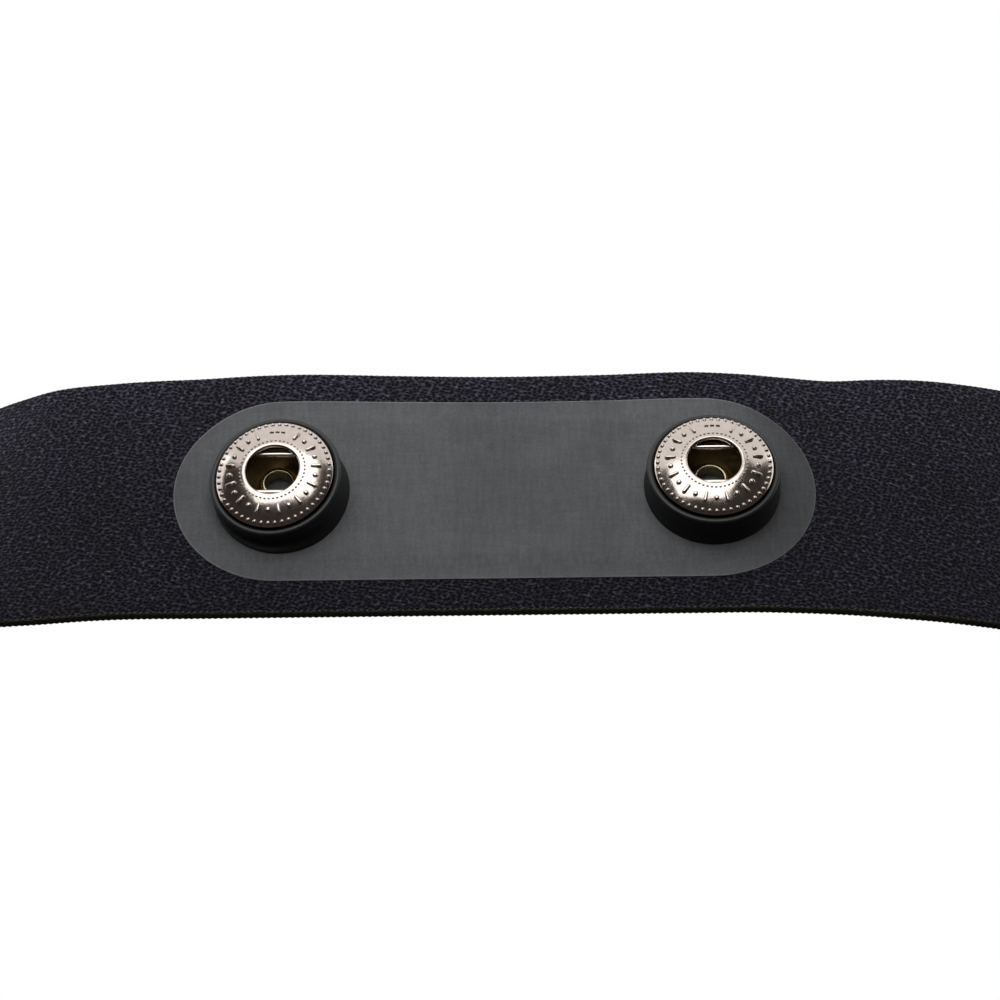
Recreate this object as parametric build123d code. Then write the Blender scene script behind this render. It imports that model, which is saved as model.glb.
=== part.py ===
"""Elastic chest strap with two snap sockets, worn round the body as a closed loop.

The loop stands on its lower edge. X runs along the front, Y points from the front to the back,
Z runs up across the strap's width. The sockets face -Y. All sizes are in millimetres.
"""

from build123d import *
from math import acos, atan2, cos, degrees, pi, radians, sin
import os

# --- driving dimensions -----------------------------------------------------------------------

STRAP_WIDTH = 30.0  # textile front band, across
TEXTILE = 1.3  # thickness of the knitted front band
ELASTIC = 1.2  # thickness of the rear elastic
ELASTIC_WIDTH = 25.0

# Loop of the band's centre line: a flat front, then three bends a side, then a straight back.
FRONT_HALF = 34.5
BENDS = [(72.0, 60.0), (118.0, 60.0), (50.0, 60.0)]  # radius, sweep in degrees, from the front back

SOCKET_PITCH = 46.0  # between the two snap sockets
PATCH = (69.0, 22.8, 0.4)  # length, width, thickness of the bonded front patch

# Snap socket, as radii and heights above the band's outer face.
BOSS_BASE_R = 7.15
BOSS_RIM_R = 6.95
BOSS_TOP = 3.8
BOSS_WEB_TOP = 1.4
POCKET_R = 6.35
CAGE_R = 6.1
CAGE_WALL = 0.25
SHELF_TOP = 3.9  # shelf inside the cage that carries the spring wires
SHELF_R = 3.1
CAP_R = 6.3
CAP_BASE = 3.95
CAP_TOP = 5.3
MOUTH_R = 2.84  # hole that takes the stud
MOUTH_WALL = (4.68, 5.02)  # from and to height of the mouth's straight wall
BEADS = 50
BEAD_R = 0.22
BEAD_CIRCLE_R = 5.87
WIRE_R = 0.3
WIRE_LENGTH = 6.6
WIRE_SPREAD = 2.27  # wire axis to socket axis
WIRE_HEIGHT = 4.25
BARREL_R = 1.6
BARREL_HOLE_R = 1.35
BARREL_CLEAR_R = 1.65
ROLL_R = 1.85
ROLL_TOP = 2.0
FLANGE_R = 5.2
FLANGE = 0.5

# Electrode pads and the liner between them, on the inner face.
PAD = 0.8
PAD_WIDTH = 20.0
PAD_FROM = 14.0
PAD_TO = 100.0

# Back hardware. Heights across Z leave the strap's own edges lowest.
HARDWARE_Z = (0.2, 29.8)
CHEEK = 2.15  # side plates of the hook, ring and slider
BAR_R = 1.0
EYE_R = 1.1  # folded strap round a bar
RING_X = -45.0
RING_REACH = 11.5
RING_OPENING = 2.2  # the ring's side plates, across Z
HOOK_X = -20.0
SLIDER_X = 25.0
SLIDER_HALF = 7.0
RUN_GAP = 0.15  # between the two layers of the rear elastic

SEAM = (261.0, 273.0)  # overlap of band and rear elastic, measured along the loop from the front
FOLD_TAIL = 10.0  # sewn tail of the band behind the ring
NARROW_Z = 2.8  # how far the tapered ends of the band stand in from its edges

# --- the loop ---------------------------------------------------------------------------------

BACK_HALF = FRONT_HALF
LOOP_DEPTH = 0.0
heading = 0.0
for bend_radius, sweep in BENDS:
    BACK_HALF += bend_radius * (sin(radians(heading + sweep)) - sin(radians(heading)))
    LOOP_DEPTH += bend_radius * (cos(radians(heading)) - cos(radians(heading + sweep)))
    heading += sweep

MID_Z = STRAP_WIDTH / 2
WRAP_TOP = RUN_GAP - TEXTILE / 2 + 2 * ELASTIC + 2 * 0.85  # highest point of the folded end, from the band
FRONT_PROUD = TEXTILE / 2 + CAP_TOP
FRONT_Y = (FRONT_PROUD - WRAP_TOP - LOOP_DEPTH) / 2
BACK_Y = FRONT_Y + LOOP_DEPTH
FACE_Y = FRONT_Y - TEXTILE / 2

BEND_RUN = [(radians(turn) * radius, turn) for radius, turn in BENDS]
STRETCHES = (
    [(BACK_HALF + RING_X, 0.0)]
    + BEND_RUN[::-1]
    + [(2 * FRONT_HALF, 0.0)]
    + BEND_RUN
    + [(BACK_HALF - RING_X, 0.0)]
)  # length and turn of each stretch, from the ring round the front to the ring again
FRONT_TO_BACK = FRONT_HALF + sum(length for length, turn in BEND_RUN)
LOOP_START = -(FRONT_TO_BACK + BACK_HALF + RING_X)


def advance(x, y, heading, length, turn):
    """The point and heading after going length along a stretch that turns by turn degrees."""
    if turn == 0:
        return x + length * cos(heading), y + length * sin(heading), heading
    radius = length / radians(turn)
    after = heading + radians(turn)
    x += radius * (sin(after) - sin(heading))
    y += radius * (cos(heading) - cos(after))
    return x, y, after


def loop_at(s):
    """x, y and heading in radians on the band's centre line, s from the middle of the front."""
    x, y, heading = RING_X, BACK_Y, pi
    at = LOOP_START
    for length, turn in STRETCHES:
        part = min(s - at, length)
        x, y, heading = advance(x, y, heading, part, turn * part / length)
        at += length
        if s <= at:
            break
    return x, y, heading


def beside(s, offset):
    """The point offset outward from the centre line at s."""
    x, y, heading = loop_at(s)
    return x + offset * sin(heading), y - offset * cos(heading)


def run_edges(start, end, offset):
    """Edges that follow the loop from start to end, offset outward."""
    edges = []
    at = LOOP_START
    for length, turn in STRETCHES:
        a = max(start, at)
        b = min(end, at + length)
        at += length
        if b - a < 1e-6:
            continue
        if turn == 0:
            edges.append(Line(beside(a, offset), beside(b, offset)))
        else:
            edges.append(ThreePointArc(beside(a, offset), beside((a + b) / 2, offset), beside(b, offset)))
    return edges


def strip(start, end, offset, thickness, width):
    """A strap lying along the loop, centred across Z, its mid-thickness offset outward."""
    outer = offset + thickness / 2
    inner = offset - thickness / 2
    edges = run_edges(start, end, outer) + run_edges(start, end, inner)
    edges += [Line(beside(s, inner), beside(s, outer)) for s in (start, end)]
    return rise(make_face(edges), MID_Z - width / 2, MID_Z + width / 2)


def rise(face, z0, z1):
    """A flat shape in XY, raised from z0 to z1."""
    return Pos(0, 0, z0) * extrude(face, amount=z1 - z0, dir=(0, 0, 1))


def disc(x, y, r):
    return Pos(x, y) * Circle(r)


def teardrop(bar, bar_r, tip, tip_r):
    """The outline round two circles and the two lines that touch both."""
    dx = tip[0] - bar[0]
    dy = tip[1] - bar[1]
    along = atan2(dy, dx)
    lean = acos((bar_r - tip_r) / (dx * dx + dy * dy) ** 0.5)

    def on(centre, r, angle):
        return centre[0] + r * cos(angle), centre[1] + r * sin(angle)

    bar_left, bar_right = on(bar, bar_r, along + lean), on(bar, bar_r, along - lean)
    tip_left, tip_right = on(tip, tip_r, along + lean), on(tip, tip_r, along - lean)
    return make_face(
        [
            Line(bar_left, tip_left),
            ThreePointArc(tip_left, on(tip, tip_r, along), tip_right),
            Line(tip_right, bar_right),
            ThreePointArc(bar_right, on(bar, bar_r, along + pi), bar_left),
        ]
    )


def box(x0, x1, y0, y1, z0, z1):
    return Pos((x0 + x1) / 2, (y0 + y1) / 2, (z0 + z1) / 2) * Box(x1 - x0, y1 - y0, z1 - z0)


def back_s(x):
    """Distance along the loop of the point x on the straight back, coming from the right."""
    return FRONT_TO_BACK + BACK_HALF - x


def cut_taper(band, x_wide, x_narrow, x_end):
    """Narrow the end of the band, seen from the back, from its full width to the sewn end's."""
    lower = Plane.XZ * Polygon((x_wide, 0), (x_narrow, NARROW_Z), (x_end, NARROW_Z), (x_end, 0), align=None)
    lower = extrude(Pos(0, BACK_Y + 10) * lower, amount=40, dir=(0, -1, 0))
    upper = mirror(lower, about=Plane.XY.offset(MID_Z))
    return band - lower - upper


def stitches(rows, offset, width, count, length=1.9, thread=0.35, proud=0.25):
    """Rows of separate stitches across the strap. Each lies on the face that is offset outward."""
    made = []
    pitch = width / count
    for s in rows:
        x, y = beside(s, offset + proud / 2)
        heading = degrees(loop_at(s)[2])
        for i in range(count):
            z = MID_Z + (i - (count - 1) / 2) * pitch
            made.append(Pos(x, y, z) * Rot(0, 0, heading) * Box(thread, proud, length))
    return Compound(children=made)


# --- front band, patch, pads ------------------------------------------------------------------

SIDES = {"left": -1, "right": 1}
LEVELS = {"upper": 1, "lower": -1}


def at_socket(side):
    """Place a piece built on +Z so that it stands out of the front at this side's socket."""
    return Pos(side * SOCKET_PITCH / 2, FACE_Y, MID_Z) * Rot(90, 0, 0)


def barrel_hole(z0, z1):
    return Pos(0, 0, (z0 + z1) / 2) * Cylinder(BARREL_CLEAR_R, z1 - z0)


RING_Y = BACK_Y - TEXTILE / 2
FOLD_TIP_X = RING_X - 7.0
fold_s = LOOP_START + (RING_X - FOLD_TIP_X)

front_band = strip(fold_s - 0.2, SEAM[1], 0, TEXTILE, STRAP_WIDTH)
front_band += strip(fold_s - 0.2, fold_s + FOLD_TAIL, -TEXTILE / 2, 2 * TEXTILE, STRAP_WIDTH)
ring_fold = teardrop((RING_X, RING_Y), EYE_R + TEXTILE, (FOLD_TIP_X, RING_Y), TEXTILE)
ring_eye = teardrop((RING_X, RING_Y), EYE_R, (FOLD_TIP_X, RING_Y), 0.08)
front_band += rise(ring_fold, 0, STRAP_WIDTH)
front_band -= rise(ring_eye, -1, STRAP_WIDTH + 1)
front_band = cut_taper(front_band, -70.0, -57.0, RING_X + 5)
front_band = cut_taper(front_band, beside(SEAM[0], 0)[0] + 2, beside(SEAM[1], 0)[0] + 3, 55.0)
for side in SIDES.values():
    front_band -= at_socket(side) * barrel_hole(-TEXTILE - 0.5, 0.5)

patch_length, patch_width, patch_thickness = PATCH
patch_outline = SlotOverall(patch_length, patch_width)
front_patch = Pos(0, FACE_Y, MID_Z) * Rot(90, 0, 0) * extrude(patch_outline, amount=patch_thickness)
for side in SIDES.values():
    front_patch -= at_socket(side) * barrel_hole(-0.5, patch_thickness + 0.5)

pad_offset = -(TEXTILE + PAD) / 2
electrodes = {}
for name, side in SIDES.items():
    ends = sorted((side * PAD_FROM, side * PAD_TO))
    pad = strip(*ends, pad_offset, PAD, PAD_WIDTH)
    corners = [edge for edge in pad.edges() if abs(edge.length - PAD) < 1e-3]
    pad = fillet(corners, 4.0)
    electrodes[name] = pad - at_socket(side) * barrel_hole(-TEXTILE - PAD - 0.5, 0)

backing_liner = strip(0.6 - PAD_FROM, PAD_FROM - 0.6, pad_offset, PAD, PAD_WIDTH)

# --- snap sockets -----------------------------------------------------------------------------


def turned(edges):
    """A ring turned about +Z from an outline in radius and height."""
    return revolve(Plane.XZ * make_face(edges), axis=Axis.Z)


def turned_polygon(*points):
    return revolve(Plane.XZ * Polygon(*points, align=None), axis=Axis.Z)


def make_boss():
    """Rubber cup, slightly wider at its foot, with a rounded rim."""
    rim_in = (POCKET_R, BOSS_TOP - 0.12)
    rim_out = (BOSS_RIM_R, BOSS_TOP - 0.32)
    rim_top = ((POCKET_R + BOSS_RIM_R) / 2, BOSS_TOP)
    foot = patch_thickness
    return turned(
        [
            Polyline(
                rim_in, (POCKET_R, BOSS_WEB_TOP), (BARREL_CLEAR_R, BOSS_WEB_TOP), (BARREL_CLEAR_R, foot),
                (BOSS_BASE_R, foot), rim_out,
            ),
            ThreePointArc(rim_out, rim_top, rim_in),
        ]
    )


def make_cage():
    """Pressed metal cup that the post is rolled over, with the shelf that carries the wires."""
    floor = BOSS_WEB_TOP
    inside = CAGE_R - CAGE_WALL
    return turned_polygon(
        (BARREL_CLEAR_R, floor), (CAGE_R, floor), (CAGE_R, SHELF_TOP), (SHELF_R, SHELF_TOP),
        (SHELF_R, SHELF_TOP - 0.15), (inside, SHELF_TOP - 0.15), (inside, floor + CAGE_WALL),
        (BARREL_CLEAR_R, floor + CAGE_WALL),
    )


def make_cap():
    """Domed shell with a rolled mouth and a ring of beads round its edge."""
    mouth_low, mouth_high = MOUTH_WALL
    shoulder = (5.5, CAP_BASE + 0.35)
    crown = (MOUTH_R + 0.46, CAP_TOP)
    dome = Spline(shoulder, (4.7, 4.86), (3.95, 5.2), crown)
    lip = ThreePointArc(crown, (MOUTH_R + 0.12, CAP_TOP - 0.08), (MOUTH_R, mouth_high))
    rest = Polyline(
        (MOUTH_R, mouth_high), (MOUTH_R, mouth_low), (MOUTH_R + 0.3, mouth_low), (MOUTH_R + 0.3, 4.95),
        (3.85, 4.9), (4.6, 4.58), (5.3, 4.08), (5.6, CAP_BASE), (CAP_R, CAP_BASE), (CAP_R, CAP_BASE + 0.15),
        shoulder,
    )
    cap = turned([dome, lip, rest])
    bead = Pos(BEAD_CIRCLE_R, 0, CAP_BASE + 0.25) * Sphere(BEAD_R)
    return cap + [Rot(0, 0, 360 / BEADS * i) * bead for i in range(BEADS)]


def make_post():
    """Rivet: flange on the inner face, barrel through the stack, end rolled over in the cage."""
    under = -TEXTILE - PAD
    seat = BOSS_WEB_TOP + CAGE_WALL
    outline = Polyline(
        (0, under - FLANGE), (FLANGE_R - 0.2, under - FLANGE), (FLANGE_R, under - FLANGE + 0.2),
        (FLANGE_R, under), (BARREL_R, under), (BARREL_R, seat), (ROLL_R, seat),
    )
    roll = ThreePointArc((ROLL_R, seat), ((ROLL_R + BARREL_HOLE_R) / 2, ROLL_TOP), (BARREL_HOLE_R, seat))
    inside = Polyline((BARREL_HOLE_R, seat), (BARREL_HOLE_R, under + 0.2), (0, under + 0.2), (0, under - FLANGE))
    return turned([outline, roll, inside])


boss = make_boss()
cage = make_cage()
cap = make_cap()
post = make_post()
wire = Rot(0, 90, 0) * Cylinder(WIRE_R, WIRE_LENGTH)

# --- back: rear elastic, hook, ring, slider ---------------------------------------------------

run_offset = -(TEXTILE + ELASTIC) / 2
RUN_TOP = BACK_Y - TEXTILE / 2  # outer face of the elastic's main run along the back
RETURN_LOW = RUN_TOP + RUN_GAP
HOOK_Y = RUN_TOP + RUN_GAP / 2
HOOK_FOLD_X = HOOK_X + 8.0
WRAP_FROM = SLIDER_X - 14.0
elastic_z = (MID_Z - ELASTIC_WIDTH / 2, MID_Z + ELASTIC_WIDTH / 2)

rear_elastic = strip(SEAM[0], back_s(HOOK_FOLD_X), run_offset, ELASTIC, ELASTIC_WIDTH)
hook_fold = teardrop((HOOK_X, HOOK_Y), EYE_R + ELASTIC, (HOOK_FOLD_X, HOOK_Y), ELASTIC + RUN_GAP / 2)
hook_eye = teardrop((HOOK_X, HOOK_Y), EYE_R, (HOOK_FOLD_X, HOOK_Y), RUN_GAP / 2)
past_fold = box(HOOK_FOLD_X, HOOK_FOLD_X + 5, HOOK_Y - 5, HOOK_Y + 5, -1, STRAP_WIDTH + 1)
rear_elastic += rise(hook_fold, *elastic_z) - rise(hook_eye, -1, STRAP_WIDTH + 1) - past_fold

adjuster_return = box(
    HOOK_FOLD_X + 0.1, WRAP_FROM - 0.1, RETURN_LOW, RETURN_LOW + ELASTIC, *elastic_z
)

# The slider's centre bar is flat with round edges, and the end of the elastic is folded over it.
BAR_HALF = 0.8
WRAP_R = BAR_HALF + 0.05
bar_y = RETURN_LOW + ELASTIC + WRAP_R
wrap_tip = (SLIDER_X - 8.0, RETURN_LOW + ELASTIC + 0.05)


def round_bar(r, tip_r, z0, z1):
    """What lies within r of the slider's centre bar, drawn out to the point where the layers meet."""
    left = (SLIDER_X - BAR_HALF, bar_y)
    shape = rise(teardrop(left, r, wrap_tip, tip_r), z0, z1)
    return shape + rise(Pos(SLIDER_X, bar_y) * SlotCenterToCenter(2 * BAR_HALF, 2 * r), z0, z1)


slider_wrap = round_bar(WRAP_R + ELASTIC, ELASTIC + 0.05, *elastic_z)
slider_wrap += box(WRAP_FROM, wrap_tip[0], RETURN_LOW, RETURN_LOW + 2 * ELASTIC + 0.1, *elastic_z)
slider_wrap -= round_bar(WRAP_R, 0.05, -1, STRAP_WIDTH + 1)

RAIL_TOP = RUN_TOP - ELASTIC - RUN_GAP
RAIL_LOW = RAIL_TOP - 1.6
low_z, high_z = HARDWARE_Z
slider_side = Polygon(
    (-SLIDER_HALF, RAIL_LOW), (SLIDER_HALF, RAIL_LOW), (SLIDER_HALF, RAIL_TOP + 0.6),
    (2.6, bar_y + BAR_HALF), (-2.6, bar_y + BAR_HALF), (-SLIDER_HALF, RAIL_TOP + 0.6), align=None,
)
slider_side = Pos(SLIDER_X, 0) * fillet(slider_side.vertices(), 0.7)
slider = rise(slider_side, low_z, low_z + CHEEK) + rise(slider_side, high_z - CHEEK, high_z)
slider += rise(Pos(SLIDER_X, bar_y) * SlotOverall(4 * BAR_HALF, 2 * BAR_HALF), low_z, high_z)
for rail_side in (-1, 1):
    rail = RectangleRounded(2.4, RAIL_TOP - RAIL_LOW, 0.6)
    rail_x = SLIDER_X + rail_side * (SLIDER_HALF - 1.2)
    slider += rise(Pos(rail_x, (RAIL_TOP + RAIL_LOW) / 2) * rail, low_z, high_z)

# Ring: two round bars between side plates. The band is folded round the left one.
ring_side = teardrop((RING_X, RING_Y), BAR_R, (RING_X + RING_REACH, RING_Y), BAR_R)
loop_ring = rise(ring_side, low_z, low_z + RING_OPENING) + rise(ring_side, high_z - RING_OPENING, high_z)
for bar_x in (RING_X, RING_X + RING_REACH):
    loop_ring += rise(disc(bar_x, RING_Y, BAR_R), low_z, high_z)

# Hook: a plate that passes outside the ring's free bar, with a tooth that drops in behind it.
PLATE = 1.8
plate_y = RING_Y + BAR_R + 0.45 + PLATE / 2
tooth_x = RING_X + RING_REACH - BAR_R - 0.8 - PLATE / 2
plate_line = FilletPolyline(
    (HOOK_X - 2.9, HOOK_Y + 0.2), (HOOK_X - 5.5, HOOK_Y + 0.2), (HOOK_X - 10.0, plate_y),
    (tooth_x - PLATE / 2, plate_y), radius=1.5,
)
hook = rise(trace(plate_line, PLATE), low_z, high_z)
front_corners = hook.edges().filter_by(Axis.Y).sort_by(Axis.X)[:2]
hook = fillet(front_corners, 2.5)
hook += box(tooth_x - PLATE / 2, tooth_x + PLATE / 2, RING_Y - 2.75, plate_y, 5.0, STRAP_WIDTH - 5.0)
tooth_tip = hook.edges().filter_by(Axis.Z).sort_by(Axis.Y)[:2]
hook = fillet(tooth_tip, 0.5)
cheek = teardrop((HOOK_X, HOOK_Y), 1.7, (HOOK_X - 3.2, HOOK_Y + 0.2), PLATE / 2)
hook += rise(cheek, low_z, low_z + CHEEK) + rise(cheek, high_z - CHEEK, high_z)
hook += rise(disc(HOOK_X, HOOK_Y, BAR_R), low_z, high_z)

# --- stitching --------------------------------------------------------------------------------

ring_stitches = stitches([fold_s + 1.5, fold_s + 4.5], TEXTILE / 2, 22.0, 8)
seam_stitches = stitches([SEAM[0] + 4, SEAM[0] + 8], TEXTILE / 2, 22.0, 8)
tack_offset = RETURN_LOW + 2 * ELASTIC + 0.1 - BACK_Y
slider_stitches = stitches([back_s(WRAP_FROM + 2), back_s(WRAP_FROM + 4.5)], tack_offset, 22.0, 8)

# --- parts ------------------------------------------------------------------------------------

parts = {
    "front_band": front_band,
    "front_patch": front_patch,
    "backing_liner": backing_liner,
    "rear_elastic": rear_elastic,
    "adjuster_return": adjuster_return,
    "slider_wrap": slider_wrap,
    "slider": slider,
    "hook": hook,
    "loop_ring": loop_ring,
    "ring_stitches": ring_stitches,
    "seam_stitches": seam_stitches,
    "slider_stitches": slider_stitches,
}
for name, side in SIDES.items():
    place = at_socket(side)
    parts[f"electrode_{name}"] = electrodes[name]
    parts[f"socket_boss_{name}"] = place * boss
    parts[f"socket_cage_{name}"] = place * cage
    parts[f"socket_cap_{name}"] = place * cap
    parts[f"socket_post_{name}"] = place * post
    for level, up in LEVELS.items():
        parts[f"spring_wire_{name}_{level}"] = place * Pos(0, up * WIRE_SPREAD, WIRE_HEIGHT) * wire

os.makedirs("parts", exist_ok=True)
for node, shape in parts.items():
    export_step(shape, f"parts/{node}.step")
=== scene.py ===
"""Elastic chest strap with two snap sockets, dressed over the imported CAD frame.

The loop stands on its lower edge: X along the front, Y from front to back, Z across the strap.
Everything is in metres, unless a comment says millimetres. Positions come from the CAD boxes and
sizes are the named values below.
"""

import random
from math import acos, atan2, copysign, cos, pi, radians, sin, sqrt

import bmesh
import bpy
from mathutils import Matrix, Vector


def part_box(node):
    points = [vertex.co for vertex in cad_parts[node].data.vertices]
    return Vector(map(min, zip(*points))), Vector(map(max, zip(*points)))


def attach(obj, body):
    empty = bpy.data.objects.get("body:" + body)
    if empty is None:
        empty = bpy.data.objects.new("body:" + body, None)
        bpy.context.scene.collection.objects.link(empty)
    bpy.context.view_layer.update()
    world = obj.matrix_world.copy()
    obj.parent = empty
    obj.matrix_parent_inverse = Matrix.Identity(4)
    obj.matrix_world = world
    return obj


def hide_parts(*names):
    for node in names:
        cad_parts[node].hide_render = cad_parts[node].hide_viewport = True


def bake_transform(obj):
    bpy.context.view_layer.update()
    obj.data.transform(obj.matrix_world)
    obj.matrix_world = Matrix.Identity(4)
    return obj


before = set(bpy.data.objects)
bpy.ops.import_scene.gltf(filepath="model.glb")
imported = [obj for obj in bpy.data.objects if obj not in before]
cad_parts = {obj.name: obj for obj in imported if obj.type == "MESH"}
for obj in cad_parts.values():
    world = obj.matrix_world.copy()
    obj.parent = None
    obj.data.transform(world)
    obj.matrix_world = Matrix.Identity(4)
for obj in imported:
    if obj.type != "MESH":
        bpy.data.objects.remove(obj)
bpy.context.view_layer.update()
MM = 0.001

# --- sizes shared with the CAD ----------------------------------------------------------------

STRAP_WIDTH = 30.0 * MM
TEXTILE = 1.3 * MM  # thickness of the knitted front band
ELASTIC = 1.2 * MM  # thickness of the rear elastic
ELASTIC_WIDTH = 25.0 * MM
FRONT_HALF = 34.5 * MM
BENDS = [(72.0 * MM, 60.0), (118.0 * MM, 60.0), (50.0 * MM, 60.0)]  # radius, degrees, from the front
PATCH_LENGTH = 69.0 * MM
PATCH_WIDTH = 22.8 * MM
PATCH_THICKNESS = 0.4 * MM
PAD = 0.8 * MM  # thickness of the electrodes and the liner
PAD_WIDTH = 20.0 * MM
PAD_FROM = 14.0 * MM
PAD_TO = 100.0 * MM
RING_X = -45.0 * MM
HOOK_X = -20.0 * MM
SLIDER_X = 25.0 * MM
EYE_R = 1.1 * MM  # folded strap round the ring's or the hook's bar
RUN_GAP = 0.15 * MM  # between the rear elastic and its return
SEAM_FROM = 261.0 * MM  # overlap of band and rear elastic, along the loop from the front
SEAM_TO = 273.0 * MM
FOLD_REACH = 7.0 * MM  # from the ring's bar to where the folded band closes
FOLD_TAIL = 10.0 * MM
NARROW = 2.8 * MM  # how far the band's tapered ends stand in from its edges

# --- sizes shared by shapes and looks ---------------------------------------------------------

SERRATION_PITCH = 0.62 * MM  # the loops of yarn along the band's edges
SELVEDGE = 0.18 * MM  # the paler strip along the band's edges
FILM_RIM = 0.16 * MM  # the paler cut edge of the patch
BOSS_RIM_HIGHLIGHT = (3.45 * MM, 3.7 * MM)  # heights between which the rubber is painted paler, as a highlight along the rim, and smoother

# --- the loop ---------------------------------------------------------------------------------

low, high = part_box("front_patch")
FACE_Y = high.y
FRONT_Y = FACE_Y + TEXTILE / 2
MID_Z = (low.z + high.z) / 2

back_half = FRONT_HALF
loop_depth = 0.0
heading = 0.0
for bend_radius, sweep in BENDS:
    back_half += bend_radius * (sin(radians(heading + sweep)) - sin(radians(heading)))
    loop_depth += bend_radius * (cos(radians(heading)) - cos(radians(heading + sweep)))
    heading += sweep
BACK_Y = FRONT_Y + loop_depth
BEND_RUN = [(radians(turn) * radius, turn) for radius, turn in BENDS]
STRETCHES = (
    [(back_half + RING_X, 0.0)] + BEND_RUN[::-1] + [(2 * FRONT_HALF, 0.0)] + BEND_RUN
    + [(back_half - RING_X, 0.0)]
)
FRONT_TO_BACK = FRONT_HALF + sum(length for length, turn in BEND_RUN)
LOOP_START = -(FRONT_TO_BACK + back_half + RING_X)


def advance(x, y, heading, length, turn):
    """The point and heading after going length along a stretch that turns by turn degrees."""
    if turn == 0:
        return x + length * cos(heading), y + length * sin(heading), heading
    radius = length / radians(turn)
    after = heading + radians(turn)
    x += radius * (sin(after) - sin(heading))
    y += radius * (cos(heading) - cos(after))
    return x, y, after


def loop_at(s):
    """x, y and heading on the band's centre line, s from the middle of the front."""
    x, y, heading = RING_X, BACK_Y, pi
    at = LOOP_START
    for length, turn in STRETCHES:
        part = min(s - at, length)
        x, y, heading = advance(x, y, heading, part, turn * part / length)
        at += length
        if s <= at:
            break
    return x, y, heading


def back_s(x):
    """Distance along the loop of the point x on the straight back, coming from the right."""
    return FRONT_TO_BACK + back_half - x


def along(start, end, step, offset=0.0):
    """Stations (x, y, outward normal, distance) on the loop, offset outward."""
    count = max(2, round(abs(end - start) / step))
    stations = []
    for i in range(count + 1):
        s = start + (end - start) * i / count
        x, y, heading = loop_at(s)
        out = (sin(heading), -cos(heading))
        stations.append((x + offset * out[0], y + offset * out[1], out[0], out[1], s))
    return stations


def round_bar(bar, radius, tip, tip_half, step, sense):
    """Stations of a mid-line that runs from the tip round a bar and back to the tip.

    It leaves and returns tip_half to either side of the tip, and touches the circle of the
    given radius round the bar. The normals point away from the bar. sense 1 goes anticlockwise.
    """
    dx = tip[0] - bar[0]
    dy = tip[1] - bar[1]
    toward = atan2(dy, dx)
    lean = acos((radius - tip_half) / sqrt(dx * dx + dy * dy))
    start = toward + sense * lean
    sweep = sense * (2 * pi - 2 * lean)
    count = max(8, round(abs(sweep) * radius / step))
    points = [(tip, tip_half, start)]
    points += [(bar, radius, start + sweep * i / count) for i in range(count + 1)]
    points += [(tip, tip_half, start + sweep)]
    return measured([
        (centre[0] + r * cos(angle), centre[1] + r * sin(angle), cos(angle), sin(angle))
        for centre, r, angle in points
    ])


def measured(points, s0=0.0):
    """Stations from points (x, y, outward normal), with the distance along them, from s0, added."""
    stations = []
    s = s0
    for i, (x, y, nx, ny) in enumerate(points):
        if i:
            s += sqrt((x - points[i - 1][0]) ** 2 + (y - points[i - 1][1]) ** 2)
        stations.append((x, y, nx, ny, s))
    return stations


# --- mesh helpers -----------------------------------------------------------------------------


def add_object(name, verts, faces, uvs=None):
    """A smooth mesh object, with one UV per vertex in metres when uvs is given."""
    mesh = bpy.data.meshes.new(name)
    mesh.from_pydata(verts, [], faces)
    if uvs:
        layer = mesh.uv_layers.new(name="cloth")
        corners = [0] * len(mesh.loops)
        mesh.loops.foreach_get("vertex_index", corners)
        layer.data.foreach_set("uv", [value for corner in corners for value in uvs[corner]])
    shaped = bmesh.new()
    shaped.from_mesh(mesh)
    bmesh.ops.recalc_face_normals(shaped, faces=shaped.faces)
    shaped.to_mesh(mesh)
    shaped.free()
    mesh.shade_smooth()
    added = bpy.data.objects.new(name, mesh)
    bpy.context.scene.collection.objects.link(added)
    return added


def finish_piece(piece, body, slot, look, *nodes):
    """Ride on a body, take a material, and stand for the CAD nodes; slot is not used."""
    piece.data.materials.append(look)
    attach(piece, body)
    if nodes:
        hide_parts(*nodes)


def cross_section(width, thickness, corner, face_steps, back_steps, narrow=0.0):
    """Closed outline (z, t) of a strap: outer face, upper edge, inner face, lower edge.

    narrow is how far both edges stand in from the full width.
    """
    half = width / 2 - narrow - corner
    deep = thickness / 2 - corner

    def arc(z, t, start):
        angles = [start - pi / 6 * i for i in range(4)]
        return [(z + corner * cos(angle), t + corner * sin(angle)) for angle in angles]

    outline = [(-half + 2 * half * i / face_steps, deep + corner) for i in range(1, face_steps)]
    outline += arc(half, deep, pi / 2) + arc(half, -deep, 0)
    outline += [(half - 2 * half * i / back_steps, -deep - corner) for i in range(1, back_steps)]
    outline += arc(-half, -deep, -pi / 2) + arc(-half, deep, pi)
    return outline


def tube_faces(rings, around):
    """Quads between successive closed rings of vertices, each with the same number."""
    faces = []
    for j in range(rings - 1):
        for i in range(around):
            k = (i + 1) % around
            faces.append((j * around + i, j * around + k, (j + 1) * around + k, (j + 1) * around + i))
    return faces


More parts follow.
